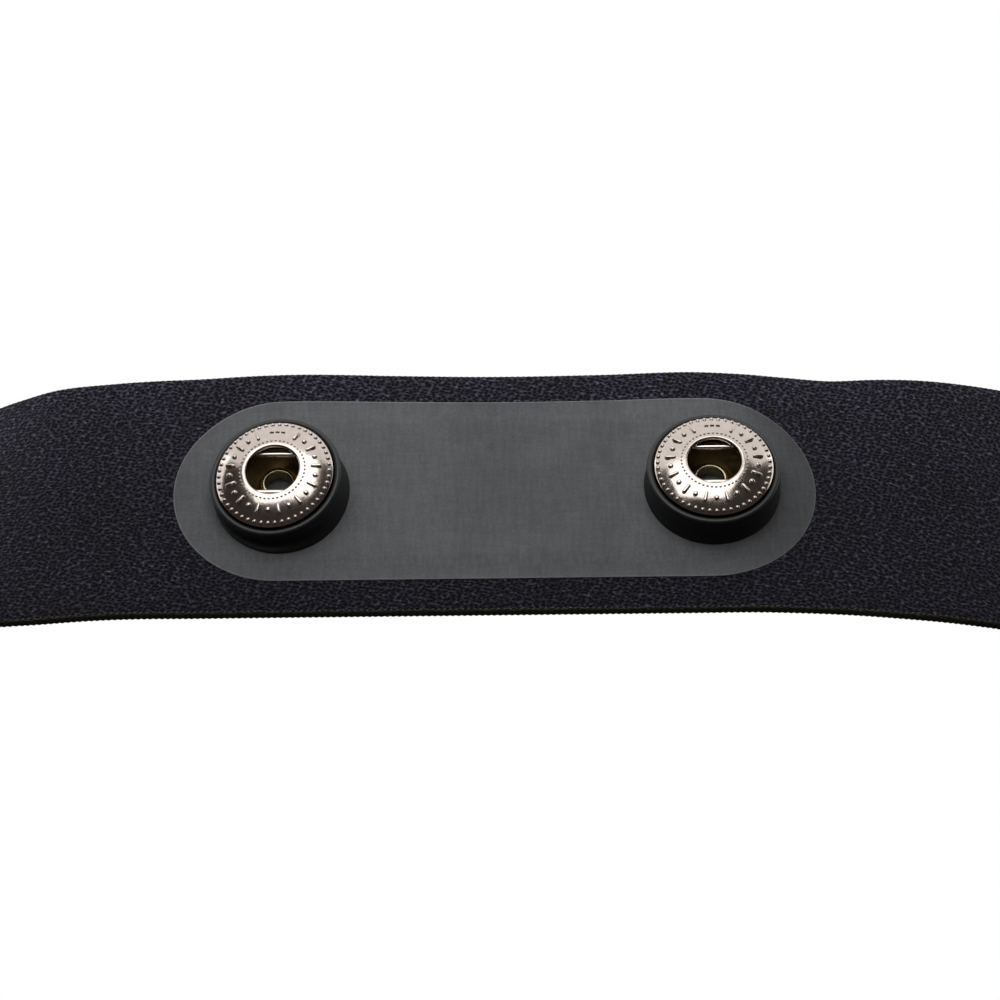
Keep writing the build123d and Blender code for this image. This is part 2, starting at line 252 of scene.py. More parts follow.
def ribbon(name, stations, section, shape=None):
    """A closed strap through the stations. section(s) gives (z, t) points; shape moves a point.

    The UVs are the distance along the strap and across it, carried on round its edges.
    """
    verts, uvs = [], []
    half = max(t for z, t in section(stations[0][4]))
    for x, y, nx, ny, s in stations:
        for z, t in section(s):
            point = Vector((x + nx * t, y + ny * t, MID_Z + z))
            if shape:
                point = shape(point, Vector((nx, ny, 0)), s, z, t)
            verts.append(point)
            round_edge = 0.0 if abs(t) > half - 1e-9 else copysign(half - t, z)
            uvs.append((s, z + round_edge))
    ring = len(verts) // len(stations)
    faces = tube_faces(len(stations), ring)
    faces.append(tuple(range(ring - 1, -1, -1)))
    faces.append(tuple(range(len(verts) - ring, len(verts))))
    return add_object(name, verts, faces, uvs)


def lathe_mesh(profile, segments):
    """A ring turned about local +Z from (radius, height) points in millimetres."""
    verts, faces = [], []
    count = len(profile)
    for i in range(segments):
        turn = 2 * pi * i / segments
        verts += [(r * MM * cos(turn), r * MM * sin(turn), h * MM) for r, h in profile]
    for i in range(segments):
        for j in range(count - 1):
            a, b = i * count + j, ((i + 1) % segments) * count + j
            faces.append((a, b, b + 1, a + 1))
    return verts, faces


def blob_mesh(lengths, around, up):
    """A small closed ellipsoid with the given half sizes, as vertices and faces."""
    long, wide, tall = lengths
    verts = [(0.0, 0.0, -tall)]
    faces = []
    for j in range(1, up):
        lift = -pi / 2 + pi * j / up
        for i in range(around):
            turn = 2 * pi * i / around
            verts.append((long * cos(lift) * cos(turn), wide * cos(lift) * sin(turn), tall * sin(lift)))
    verts.append((0.0, 0.0, tall))
    top = len(verts) - 1
    for i in range(around):
        k = (i + 1) % around
        faces.append((0, 1 + k, 1 + i))
        for j in range(up - 2):
            a = 1 + j * around
            faces.append((a + i, a + k, a + around + k, a + around + i))
        a = 1 + (up - 2) * around
        faces.append((a + i, a + k, top))
    return verts, faces


def join_parts(parts):
    """One list of vertices and faces out of several."""
    verts, faces = [], []
    for part_verts, part_faces in parts:
        shift = len(verts)
        verts += part_verts
        faces += [tuple(v + shift for v in face) for face in part_faces]
    return verts, faces


# --- materials --------------------------------------------------------------------------------


def node(tree, kind, values=None, **settings):
    """Add a node. A value that is a socket is linked, anything else is set on the input."""
    added = tree.nodes.new("ShaderNode" + kind)
    for key, value in settings.items():
        setattr(added, key, value)
    for key, value in (values or {}).items():
        if isinstance(value, bpy.types.NodeSocket):
            tree.links.new(value, added.inputs[key])
        else:
            added.inputs[key].default_value = value
    return added


def new_look(name, **fixed):
    """A material with a Principled shader, its fixed values set on the shader itself."""
    look = bpy.data.materials.new(name)
    look.use_nodes = True
    tree = look.node_tree
    tree.nodes.clear()
    surface = node(tree, "BsdfPrincipled", {key.replace("_", " "): value for key, value in fixed.items()})
    node(tree, "OutputMaterial", {"Surface": surface.outputs["BSDF"]})
    return look, tree, surface


def ramp(tree, value, stops):
    """A colour ramp through (position, colour) stops; a plain number is a grey."""
    gradient = node(tree, "ValToRGB", {"Fac": value})
    elements = gradient.color_ramp.elements
    while len(elements) < len(stops):
        elements.new(0.5)
    for element, (at, colour) in zip(elements, stops):
        element.position = at
        element.color = (colour,) * 3 + (1,) if isinstance(colour, float) else (*colour, 1)
    return gradient.outputs["Color"]


def maths(tree, operation, a, b=0.0, c=0.0):
    """The result of a Math node."""
    return node(tree, "Math", {0: a, 1: b, 2: c}, operation=operation).outputs[0]


def spread(tree, value, from_low, from_high, to_low=0.0, to_high=1.0):
    """Map a value from one range to another, clamped at both ends."""
    limits = {"From Min": from_low, "From Max": from_high, "To Min": to_low, "To Max": to_high}
    return node(tree, "MapRange", {"Value": value, **limits}).outputs["Result"]


def noise(tree, vector, scale, detail):
    """Smooth noise at scale cycles per unit of the vector."""
    return node(tree, "TexNoise", {"Vector": vector, "Scale": scale, "Detail": detail}).outputs["Fac"]


def cloth_uv(tree):
    return node(tree, "UVMap", uv_map="cloth").outputs["UV"]


def mixed(tree, factor, a, b, blend_type="MIX"):
    """Mix two colours: each is a socket or three numbers."""
    a, b = (value if isinstance(value, bpy.types.NodeSocket) else (*value, 1) for value in (a, b))
    # The colour sockets of a Mix node are inputs 6 and 7, and output 2.
    return node(tree, "Mix", {0: factor, 6: a, 7: b}, data_type="RGBA", blend_type=blend_type).outputs[2]


def multiplied(tree, a, b):
    return mixed(tree, 1.0, a, b, "MULTIPLY")


def slanted(tree, vector, axes):
    """Two slanted axes of a flat pattern: each is a direction times its cycles per metre."""
    first, second = (
        node(tree, "VectorMath", {0: vector, 1: (*axis, 0.0)}, operation="DOT_PRODUCT").outputs["Value"]
        for axis in axes
    )
    return node(tree, "CombineXYZ", {"X": first, "Y": second}).outputs["Vector"]


def bumped(tree, surface, height, distance):
    """Give the surface a relief: distance is in metres for a height of 1."""
    bump = node(tree, "Bump", {"Height": height, "Distance": distance})
    tree.links.new(bump.outputs["Normal"], surface.inputs["Normal"])


# Slanted axes of the knit's pits and of its strands, in cycles per metre along and across the strap.
KNIT_PITS = ((1880.0, -740.0), (460.0, 2280.0))
KNIT_STRANDS = ((1840.0, -470.0), (1160.0, 4550.0))
KNIT_WANDER = 0.8 * MM  # how far the lattice wanders from straight
ELASTIC_RIBS = 420.0  # cycles per metre
ELASTIC_WEFT = 1400.0


def knit_look():
    """Fine warp knit: a web of short loops round small dark pits, with a ribbed, paler selvedge; painted
    light makes it paler towards the upper edge.
    """
    look, tree, surface = new_look("knit_black", Roughness=0.92, Specular_IOR_Level=0.15,
                                   Sheen_Weight=0.06, Sheen_Roughness=0.5)
    flat = cloth_uv(tree)
    wander = node(tree, "TexNoise", {"Vector": flat, "Scale": 420.0, "Detail": 2.0}).outputs["Color"]
    wander = node(tree, "VectorMath", {0: wander, 1: (KNIT_WANDER, KNIT_WANDER, 0.0)},
                  operation="MULTIPLY").outputs[0]
    cloth = node(tree, "VectorMath", {0: flat, 1: wander}, operation="ADD").outputs[0]
    pits = node(tree, "TexVoronoi",
                {"Vector": slanted(tree, cloth, KNIT_PITS), "Scale": 1.0, "Randomness": 0.7},
                voronoi_dimensions="2D").outputs["Distance"]
    strands = node(tree, "TexNoise",
                   {"Vector": slanted(tree, cloth, KNIT_STRANDS), "Scale": 1.0, "Detail": 2.0},
                   noise_dimensions="2D").outputs["Fac"]
    fibre = noise(tree, cloth, 3600.0, 3.0)
    broad = noise(tree, cloth, 130.0, 3.0)
    across = node(tree, "SeparateXYZ", {"Vector": flat})
    yarn = ramp(tree, pits, [(0.14, (0.0009, 0.0009, 0.0015)), (0.35, (0.0168, 0.0156, 0.0220)),
                             (0.66, (0.045, 0.042, 0.057))])
    yarn = multiplied(tree, yarn, ramp(tree, strands, [(0.30, 0.30), (0.52, 1.0), (0.74, 2.5)]))
    cast = ramp(tree, broad, [(0.35, (0.90, 0.89, 0.90)), (0.65, (1.09, 1.06, 1.22))])
    yarn = multiplied(tree, yarn, cast)
    yarn = multiplied(tree, yarn, ramp(tree, fibre, [(0.56, 0.85), (0.72, 2.6)]))
    # Painted light: darker towards the lower edge and paler towards the upper edge, as the light falls from
    # above.
    lift = spread(tree, across.outputs["Y"], -STRAP_WIDTH / 2, STRAP_WIDTH / 2)
    yarn = multiplied(tree, yarn, ramp(tree, lift, [(0.0, 0.83), (0.5, 0.93), (0.8, 1.2), (1.0, 1.5)]))
    ribs = maths(tree, "SINE", maths(tree, "MULTIPLY", across.outputs["X"], 2 * pi / SERRATION_PITCH))
    selvedge = ramp(tree, maths(tree, "MULTIPLY_ADD", ribs, 0.12, fibre),
                    [(0.3, (0.050, 0.050, 0.040)), (0.7, (0.125, 0.125, 0.103))])
    from_middle = maths(tree, "ABSOLUTE", across.outputs["Y"])
    at_edge = spread(tree, from_middle, STRAP_WIDTH / 2 - SELVEDGE, STRAP_WIDTH / 2)
    tree.links.new(mixed(tree, at_edge, yarn, selvedge), surface.inputs["Base Color"])
    bumped(tree, surface, maths(tree, "MULTIPLY_ADD", strands, 0.8, pits), 0.16 * MM)
    return look


def elastic_look():
    """Woven elastic: fine ribs along the strap, crossed by close weft threads."""
    look, tree, surface = new_look("elastic_black", Roughness=0.8, Specular_IOR_Level=0.3,
                                   Sheen_Weight=0.15, Sheen_Roughness=0.4)
    cloth = cloth_uv(tree)
    parts = node(tree, "SeparateXYZ", {"Vector": cloth})
    rib = maths(tree, "SINE", maths(tree, "MULTIPLY", parts.outputs["Y"], 2 * pi * ELASTIC_RIBS))
    weft = maths(tree, "SINE", maths(tree, "MULTIPLY", parts.outputs["X"], 2 * pi * ELASTIC_WEFT))
    height = maths(tree, "MULTIPLY_ADD", weft, 0.22, maths(tree, "ABSOLUTE", rib))
    height = maths(tree, "MULTIPLY_ADD", noise(tree, cloth, 4200.0, 3.0), 0.5, height)
    shade = ramp(tree, height, [(0.1, (0.006, 0.006, 0.007)), (0.9, (0.026, 0.025, 0.029))])
    worn = ramp(tree, noise(tree, cloth, 90.0, 3.0), [(0.35, 0.8), (0.7, 1.25)])
    tree.links.new(multiplied(tree, shade, worn), surface.inputs["Base Color"])
    bumped(tree, surface, height, 0.18 * MM)
    return look


def grained(name, colours, scale, depth, **fixed):
    """A plain material whose colour, roughness and surface vary with a fine and a broad grain.

    scale is the fine grain's cycles per metre, depth its relief in millimetres.
    """
    look, tree, surface = new_look(name, **fixed)
    place = node(tree, "TexCoord").outputs["Object"]
    fine = noise(tree, place, scale, 4.0)
    broad = noise(tree, place, scale / 14, 3.0)
    both = maths(tree, "MULTIPLY_ADD", broad, 0.6, maths(tree, "MULTIPLY", fine, 0.4))
    tree.links.new(ramp(tree, both, [(0.3, colours[0]), (0.7, colours[1])]), surface.inputs["Base Color"])
    rough = surface.inputs["Roughness"].default_value
    tree.links.new(spread(tree, both, 0.3, 0.7, rough - 0.06, rough + 0.08), surface.inputs["Roughness"])
    bumped(tree, surface, fine, depth * MM)
    return look


def film_look():
    """Matte rubberised film: a faint cross weave under it, darker smudges, a paler cut edge, and painted
    shade towards its ends.
    """
    look, tree, surface = new_look("patch_film", Roughness=0.75, Specular_IOR_Level=0.25)
    parts = node(tree, "SeparateXYZ", {"Vector": cloth_uv(tree)})
    place = node(tree, "TexCoord").outputs["Object"]
    upright = node(tree, "Mapping", {"Vector": place, "Scale": (2600.0, 2600.0, 380.0)}).outputs["Vector"]
    level = node(tree, "Mapping", {"Vector": place, "Scale": (420.0, 420.0, 2900.0)}).outputs["Vector"]
    weave = maths(tree, "MULTIPLY", noise(tree, level, 1.0, 3.0), 0.4)
    weave = maths(tree, "MULTIPLY_ADD", noise(tree, upright, 1.0, 3.0), 0.6, weave)
    fine = noise(tree, place, 3400.0, 4.0)
    smudge = noise(tree, place, 95.0, 2.0)
    shade = ramp(tree, weave, [(0.30, (0.121, 0.126, 0.132)), (0.70, (0.166, 0.172, 0.180))])
    shade = multiplied(tree, shade, ramp(tree, fine, [(0.3, 0.87), (0.7, 1.13)]))
    shade = multiplied(tree, shade, ramp(tree, smudge, [(0.32, 0.86), (0.46, 1.0)]))
    # The UVs are the distance along the patch, and how far in from its edge.
    lengthwise = spread(tree, parts.outputs["X"], -PATCH_LENGTH / 2, PATCH_LENGTH / 2)
    # Painted shade: darker towards both ends of the patch, most at the right end, where the surface turns
    # away from the light.
    ends = ramp(tree, lengthwise, [(0.03, 0.88), (0.15, 1.0), (0.84, 1.0), (0.97, 0.56)])
    shade = multiplied(tree, shade, ends)
    rim = ramp(tree, maths(tree, "MULTIPLY", parts.outputs["Y"], 1 / FILM_RIM), [(0.6, 1.6), (1.0, 1.0)])
    tree.links.new(multiplied(tree, shade, rim), surface.inputs["Base Color"])
    tree.links.new(spread(tree, fine, 0.3, 0.7, 0.68, 0.84), surface.inputs["Roughness"])
    bumped(tree, surface, maths(tree, "MULTIPLY_ADD", weave, 1.5, fine), 0.03 * MM)
    return look


def boss_look():
    """Moulded rubber, nearly black, smoother along the rim, where a painted highlight makes it paler."""
    look = grained("socket_rubber", ((0.0045, 0.0053, 0.0056), (0.0085, 0.0098, 0.0102)), 1800.0, 0.02,
                   Roughness=0.6, Specular_IOR_Level=0.4)
    tree = look.node_tree
    surface = tree.nodes["Principled BSDF"]
    base = surface.inputs["Base Color"]
    rubber = base.links[0].from_socket
    # The UV's second axis is the height above the band.
    height = node(tree, "SeparateXYZ", {"Vector": cloth_uv(tree)}).outputs["Y"]
    rim = spread(tree, height, *BOSS_RIM_HIGHLIGHT)
    # Painted highlight: paler rubber along the rim's crest.
    tree.links.new(mixed(tree, rim, rubber, (0.024, 0.026, 0.027)), base)
    tree.links.new(spread(tree, rim, 0.0, 1.0, 0.62, 0.33), surface.inputs["Roughness"])
    return look


knit = knit_look()
elastic = elastic_look()
patch_film = film_look()
rubber = boss_look()
pad_rubber = grained("pad_rubber", ((0.012, 0.012, 0.012), (0.020, 0.020, 0.021)), 2200.0, 0.02,
                     Roughness=0.55, Specular_IOR_Level=0.45)
liner_cloth = grained("liner_cloth", ((0.012, 0.012, 0.013), (0.022, 0.022, 0.025)), 3400.0, 0.06,
                      Roughness=0.9, Sheen_Weight=0.2)
thread = grained("thread_black", ((0.018, 0.018, 0.020), (0.050, 0.050, 0.054)), 5200.0, 0.04,
                 Roughness=0.6, Sheen_Weight=0.2)
selvedge_thread = grained("selvedge_thread", ((0.075, 0.077, 0.074), (0.170, 0.173, 0.168)), 5200.0, 0.03,
                          Roughness=0.6, Sheen_Weight=0.2)
nickel = grained("nickel", ((0.56, 0.487, 0.438), (0.71, 0.632, 0.578)), 1100.0, 0.016,
                 Metallic=1.0, Roughness=0.16)
brass = grained("cage_brass", ((0.20, 0.13, 0.055), (0.34, 0.24, 0.11)), 1300.0, 0.01,
                Metallic=1.0, Roughness=0.3)
pale_brass = grained("pale_brass", ((0.40, 0.34, 0.19), (0.58, 0.51, 0.32)), 1400.0, 0.01,
                     Metallic=1.0, Roughness=0.25)
steel = grained("spring_steel", ((0.72, 0.66, 0.60), (0.84, 0.80, 0.76)), 1500.0, 0.008,
                Metallic=1.0, Roughness=0.16)
plastic = grained("moulded_plastic", ((0.010, 0.010, 0.011), (0.018, 0.018, 0.019)), 2400.0, 0.02,
                  Roughness=0.42, Specular_IOR_Level=0.5)

# --- camera, stage and light ------------------------------------------------------------------

CAMERA_DISTANCE = 0.3
CAMERA_AZIMUTH = radians(0.216)
CAMERA_ELEVATION = radians(-33.66)
CAMERA_ROLL = radians(0.55)
CAMERA_SENSOR = 36.0  # millimetres, as the lens is
CAMERA_LENS = 101.15
AIM = Vector((0.55 * MM, FACE_Y, 13.73 * MM))

back = Vector((
    sin(CAMERA_AZIMUTH) * cos(CAMERA_ELEVATION),
    -cos(CAMERA_AZIMUTH) * cos(CAMERA_ELEVATION),
    sin(CAMERA_ELEVATION),
))
right = Vector((cos(CAMERA_AZIMUTH), sin(CAMERA_AZIMUTH), 0))
up = back.cross(right)
rolled_right = right * cos(CAMERA_ROLL) - up * sin(CAMERA_ROLL)
rolled_up = right * sin(CAMERA_ROLL) + up * cos(CAMERA_ROLL)
camera_data = bpy.data.cameras.new("camera")
camera_data.sensor_width = CAMERA_SENSOR
camera_data.lens = CAMERA_LENS
camera_data.clip_start = 0.01
camera_data.clip_end = 20.0
camera = bpy.data.objects.new("camera", camera_data)
bpy.context.scene.collection.objects.link(camera)
turned_camera = Matrix((rolled_right, rolled_up, back)).transposed().to_4x4()
camera.matrix_world = Matrix.Translation(AIM + back * CAMERA_DISTANCE) @ turned_camera
bpy.context.scene.camera = camera
bpy.context.scene.view_settings.view_transform = "Standard"

FLOOR_HALF = 2.0
FLOOR_Z = -0.3 * MM
floor_corners = [(x * FLOOR_HALF, y * FLOOR_HALF, FLOOR_Z) for x, y in ((-1, -1), (1, -1), (1, 1), (-1, 1))]
floor = add_object("floor", floor_corners, [(0, 1, 2, 3)])
floor_look, tree, surface = new_look("pale_floor", Roughness=0.9, Emission_Color=(1.0, 1.0, 1.0, 1.0),
                                     Emission_Strength=0.42)
mottle = noise(tree, node(tree, "TexCoord").outputs["Object"], 6.0, 2.0)
tree.links.new(ramp(tree, mottle, [(0.3, 0.52), (0.7, 0.56)]), surface.inputs["Base Color"])
# The camera stands below the floor's level, so the floor is see-through from below.
underside = node(tree, "NewGeometry").outputs["Backfacing"]
see_through = node(tree, "BsdfTransparent").outputs["BSDF"]
floor_mix = node(tree, "MixShader", {0: underside, 1: surface.outputs["BSDF"], 2: see_through})
tree.links.new(floor_mix.outputs[0], tree.nodes["Material Output"].inputs["Surface"])
floor.data.materials.append(floor_look)
for unseen_by in ("visible_diffuse", "visible_glossy", "visible_transmission", "visible_shadow"):
    setattr(floor, unseen_by, False)

# Name, place, the point it faces, width and height, all in metres, and power in watts.
SOFTBOXES = [
    ("softbox_top", (0.0, FACE_Y - 0.06, 0.30), (0.0, FACE_Y - 0.05, 0.0), (0.72, 0.60), 1.25),
    ("softbox_front", (-0.05, FACE_Y - 0.40, 0.130), (0.0, FACE_Y, MID_Z), (0.40, 0.32), 0.86),
    ("softbox_back", (0.1, 0.60, 0.45), (0.0, 0.0, MID_Z), (0.6, 0.5), 6.0),
    ("softbox_side", (-0.6, 0.15, 0.30), (0.0, 0.10, MID_Z), (0.9, 0.5), 1.8),
    ("softbox_side", (0.6, 0.15, 0.30), (0.0, 0.10, MID_Z), (0.9, 0.5), 1.8),
]
for name, place, aim, size, power in SOFTBOXES:
    lamp = bpy.data.lights.new(name, "AREA")
    lamp.shape = "RECTANGLE"
    lamp.size, lamp.size_y = size
    lamp.energy = power
    softbox = bpy.data.objects.new(name, lamp)
    softbox.location = place
    softbox.rotation_euler = (Vector(aim) - Vector(place)).to_track_quat("-Z", "Y").to_euler()
    bpy.context.scene.collection.objects.link(softbox)

# White to the camera, and a faint warm fill for everything else.
world = bpy.data.worlds.new("studio")
world.use_nodes = True
tree = world.node_tree
tree.nodes.clear()
seen = node(tree, "Background", {"Color": (1, 1, 1, 1), "Strength": 1.0}).outputs[0]
ambient = node(tree, "Background", {"Color": (1.0, 0.88, 0.78, 1), "Strength": 0.04}).outputs[0]
direct = node(tree, "LightPath").outputs["Is Camera Ray"]
node(tree, "OutputWorld", {"Surface": node(tree, "MixShader", {0: direct, 1: ambient, 2: seen}).outputs[0]})
bpy.context.scene.world = world

# --- front band -------------------------------------------------------------------------------

# How the band lies. Each row: the distance along the loop from the middle of the front,
# how far the upper and the lower edge lie back from the flat shape, and how far the upper edge
# rises. All in millimetres.
LAY = [
    (-120, 0.0, 0.0, 0.0), (-85, 2.0, -0.4, 0.0), (-62, 2.7, -1.0, 0.0), (-53, 1.0, -0.95, 0.0),
    (-48, 0.05, -0.4, 0.0), (-42, -0.05, -0.2, 0.0), (-33, 0.0, 0.0, 0.25), (-26, 0.0, 0.0, 0.65),
    (-20, 0.0, 0.0, 0.75), (-10, 0.0, 0.0, 0.4), (0, 0.0, 0.0, 0.15), (12, 0.0, 0.0, 0.25),
    (21, 0.0, 0.0, 0.5), (27, 0.0, 0.0, 0.15), (32, 0.6, 0.3, 0.0), (37, 1.3, 0.75, 0.0),
    (42, 0.8, 1.15, 0.0), (47, 0.35, 1.35, 0.0), (54, 0.2, 1.5, 0.0), (72, 0.1, 1.2, 0.0),
    (120, 0.0, 0.0, 0.0),
]
BAND_CORNER = 0.28 * MM
BAND_STEPS = (26, 14)  # across the outer and the inner face
SERRATION = 0.05 * MM  # how far the loops of yarn stand out at the edges
FINE_HALF = 62.0 * MM  # the front stretch whose edges are modelled finely
FINE_STEP = 0.165 * MM
COARSE_STEP = 1.0 * MM
FOLD_STEP = 0.35 * MM
TAIL_STEP = 0.5 * MM
FOLD_GAP = 0.3 * MM  # left along the loop between the fold and the layers that run from it


def ease(a, b, value):
    """0 before a, 1 after b, smooth between."""
    t = min(1.0, max(0.0, (value - a) / (b - a)))
    return t * t * (3 - 2 * t)


# Where the band is narrow, and at its full width, by the ring and by the seam.
RING_NARROW = LOOP_START + 12.0 * MM
RING_WIDE = RING_NARROW + 13.0 * MM
SEAM_WIDE = SEAM_FROM - 2.0 * MM
SEAM_NARROW = SEAM_TO - 3.0 * MM


def band_section(s):
    narrow = NARROW * max(ease(SEAM_WIDE, SEAM_NARROW, s), 1 - ease(RING_NARROW, RING_WIDE, s))
    return cross_section(STRAP_WIDTH, TEXTILE, BAND_CORNER, *BAND_STEPS, narrow)


def lay_at(s):
    """The three values of LAY at s, in metres, on a smooth curve through its rows."""
    at = s / MM
    if at <= LAY[0][0] or at >= LAY[-1][0]:
        return 0.0, 0.0, 0.0
    i = max(k for k in range(len(LAY) - 1) if LAY[k][0] <= at)
    before, start, end, after = LAY[max(i - 1, 0)], LAY[i], LAY[i + 1], LAY[min(i + 2, len(LAY) - 1)]
    span = end[0] - start[0]
    t = (at - start[0]) / span
    values = []
    for k in (1, 2, 3):
        slope_in = (end[k] - before[k]) / (end[0] - before[0]) * span
        slope_out = (after[k] - start[k]) / (after[0] - start[0]) * span
        values.append((
            start[k] * (2 * t ** 3 - 3 * t ** 2 + 1) + slope_in * (t ** 3 - 2 * t ** 2 + t)
            + end[k] * (3 * t ** 2 - 2 * t ** 3) + slope_out * (t ** 3 - t ** 2)
        ) * MM)
    return tuple(values)


def laid(point, outward, s, z):
    """Move a point of the strap, or of what is fixed to it, as LAY says. z is from mid-width."""
    upper, lower, rise = lay_at(s)
    share = min(1.0, max(0.0, z / STRAP_WIDTH + 0.5))
    moved = point - outward * (lower + (upper - lower) * share)
    moved.z += rise * ease(0.15 * STRAP_WIDTH, 0.5 * STRAP_WIDTH, z)
    return moved


def band_shape(point, outward, s, z, t):
    """The lay, and the loops of yarn that show along the edges."""
    point = laid(point, outward, s, z)
    if abs(s) < FINE_HALF and abs(z) > 0.49 * STRAP_WIDTH:
        point.z += SERRATION * sin(2 * pi * s / SERRATION_PITCH) * (0.5 if z > 0 else 1.0)
    return point


RING_BAR = (RING_X, BACK_Y - TEXTILE / 2)
FOLD_TIP = (RING_X - FOLD_REACH, RING_BAR[1])
fold_s = LOOP_START + FOLD_REACH
fold = round_bar(RING_BAR, EYE_R + TEXTILE / 2, FOLD_TIP, TEXTILE / 2, FOLD_STEP, 1)
fold = [(x, y, nx, ny, s + fold_s - fold[-1][4]) for x, y, nx, ny, s in fold]
tail = along(fold_s + FOLD_TAIL, fold_s + FOLD_GAP, TAIL_STEP, -TEXTILE)
tail = [(x, y, -nx, -ny, fold[0][4] + fold_s - s) for x, y, nx, ny, s in tail]
main_run = (
    along(fold_s + FOLD_GAP, -FINE_HALF, COARSE_STEP)
    + along(-FINE_HALF, FINE_HALF, FINE_STEP)[1:]
    + along(FINE_HALF, SEAM_TO, COARSE_STEP)[1:]
)
band = ribbon("front_band_knit", tail + fold + main_run, band_section, band_shape)
finish_piece(band, "strap", "textile", knit, "front_band")

# Overlock dashes along the lower front corner.
DASH = (0.2 * MM, 0.07 * MM, 0.07 * MM)  # half sizes, the first along the edge
DASH_SIDE = 0.58 * MM  # from the centre line to the dashes, on the rounded corner
DASH_DROP = STRAP_WIDTH / 2 - 0.2 * MM  # below mid-width
DASH_REACH = 190.0 * MM  # either way from the middle of the front


def edge_dashes(start, end):
    """A row of small slanted dashes of uneven length, one to each loop of yarn."""
    parts = []
    rng = random.Random(5)
    for x, y, nx, ny, s in along(start, end, SERRATION_PITCH, DASH_SIDE):
        verts, faces = blob_mesh((DASH[0] * rng.uniform(0.7, 1.15), DASH[1], DASH[2]), around=8, up=4)
        lean = rng.uniform(0.05, 0.3)
        moved = []
        for a, b, c in verts:
            point = Vector((x - ny * a + nx * b, y + nx * a + ny * b, MID_Z - DASH_DROP + c - lean * a))
            moved.append(laid(point, Vector((nx, ny, 0)), s, -DASH_DROP))
        parts.append((moved, faces))
    return join_parts(parts)


dashes = add_object("selvedge_dashes", *edge_dashes(-DASH_REACH, DASH_REACH))
finish_piece(dashes, "strap", "thread", selvedge_thread)

# --- bonded patch -----------------------------------------------------------------------------

FILM_EDGE = 0.09 * MM  # the film's own thickness at its edge; it swells to the full height inside
FILM_RAMP = 3.4 * MM
FILM_SINK = 0.1 * MM  # how far its edge goes into the band, and stands in from the CAD's outline
FILM_RINGS = 22
PATCH_RISE = 0.12 * MM  # the film is stuck on a little above the middle
CREASES = (-10.5 * MM, 9.5 * MM)  # where they cross mid-width
CREASE_HEIGHT = 0.035 * MM
CREASE_HALF = 1.1 * MM
CREASE_BOW = 9.0  # per metre: a crease leans aside by this times the square of the height


def patch_mesh():
    """Stadium of rings that share one medial line, with a thin edge and faint creases."""
    radius = PATCH_WIDTH / 2 - FILM_SINK
    medial = PATCH_LENGTH / 2 - PATCH_WIDTH / 2
    straight, bend = 60, 40
    arc = [(sin(pi * i / bend), cos(pi * i / bend)) for i in range(bend)]
    line = [medial - 2 * medial * i / straight for i in range(straight)]
    insets = [(0.0, -FILM_SINK), (0.0, 0.6 * FILM_EDGE), (0.04 * MM, FILM_EDGE), (FILM_RIM, FILM_EDGE)]
    for i in range(1, FILM_RINGS + 1):
        inset = radius * i / FILM_RINGS
        insets.append((inset, FILM_EDGE + (PATCH_THICKNESS - FILM_EDGE) * ease(0.0, FILM_RAMP, inset)))
    verts, uvs = [], []
    for inset, lift in insets:
        ring_r = radius - inset
        outline = [(x, ring_r) for x in line] + [(-medial - ring_r * a, ring_r * b) for a, b in arc]
        outline += [(-x, -ring_r) for x in line] + [(medial + ring_r * a, -ring_r * b) for a, b in arc]
        for x, z in outline:
            from_creases = (x - at - CREASE_BOW * z * abs(z) for at in CREASES)
            crease = sum(CREASE_HEIGHT / (1 + (away / CREASE_HALF) ** 2) for away in from_creases)
            height = lift + crease * ease(0.0, FILM_RAMP, inset)
            point = Vector((x, FACE_Y - height, MID_Z + PATCH_RISE + z))
            verts.append(laid(point, Vector((0, -1, 0)), x, z))
            uvs.append((x, inset))
    return verts, tube_faces(len(insets), 2 * (straight + bend)), uvs


patch = add_object("front_patch_film", *patch_mesh())
finish_piece(patch, "strap", "patch", patch_film, "front_patch")

# --- snap sockets -----------------------------------------------------------------------------

# A socket's profiles are (radius, height above the band) in millimetres.
DOME = [
    (6.3, 3.98), (6.27, 4.03), (6.12, 4.13), (5.8, 4.32), (5.45, 4.51), (5.1, 4.67), (4.7, 4.825),
    (4.35, 4.94), (4.05, 5.03), (3.75, 5.105), (3.45, 5.16), (3.25, 5.19),
]
MOUTH_R = 2.84
CAP_PROFILE = [
    (5.9, 3.9), (6.22, 3.9), (6.3, 3.95), *DOME, (3.12, 5.205), (3.02, 5.21), (2.93, 5.18), (2.87, 5.1),
    (MOUTH_R, 5.0), (MOUTH_R, 4.68), (2.9, 4.62), (3.1, 4.64), (3.16, 4.85), (3.85, 4.9), (4.7, 4.62),
    (5.4, 4.2), (5.9, 3.9),
]
BOSS_PROFILE = [
    (1.7, 1.45), (6.32, 1.45), (6.35, 3.4), (6.4, 3.58), (6.5, 3.7), (6.64, 3.76), (6.8, 3.78),
    (6.94, 3.74), (7.04, 3.65), (7.1, 3.5), (7.12, 3.3), (7.11, 3.0), (7.06, 2.5), (7.0, 1.9),
    (7.02, 1.4), (7.1, 1.05), (7.18, 0.76), (7.3, 0.46), (7.3, 0.3), (1.7, 0.3), (1.7, 1.45),
]
CAGE_PROFILE = [
    (1.66, 1.47), (5.9, 1.47), (6.1, 1.6), (6.1, 3.7), (6.0, 3.85), (5.8, 3.9), (3.2, 3.9), (3.1, 3.85),
    (3.1, 3.78), (3.2, 3.74), (5.7, 3.74), (5.84, 3.6), (5.84, 1.8), (5.7, 1.66), (1.66, 1.66),
    (1.66, 1.47),
]
BEADS = 50
BEAD_R = 0.24 * MM
BEAD_CIRCLE_R = 5.94 * MM
INNER_BEADS = 48
INNER_BEAD = (0.11 * MM, 0.15 * MM, 0.12 * MM)  # half sizes: outward, round the mouth, up
INNER_CIRCLE_R = 3.5 * MM
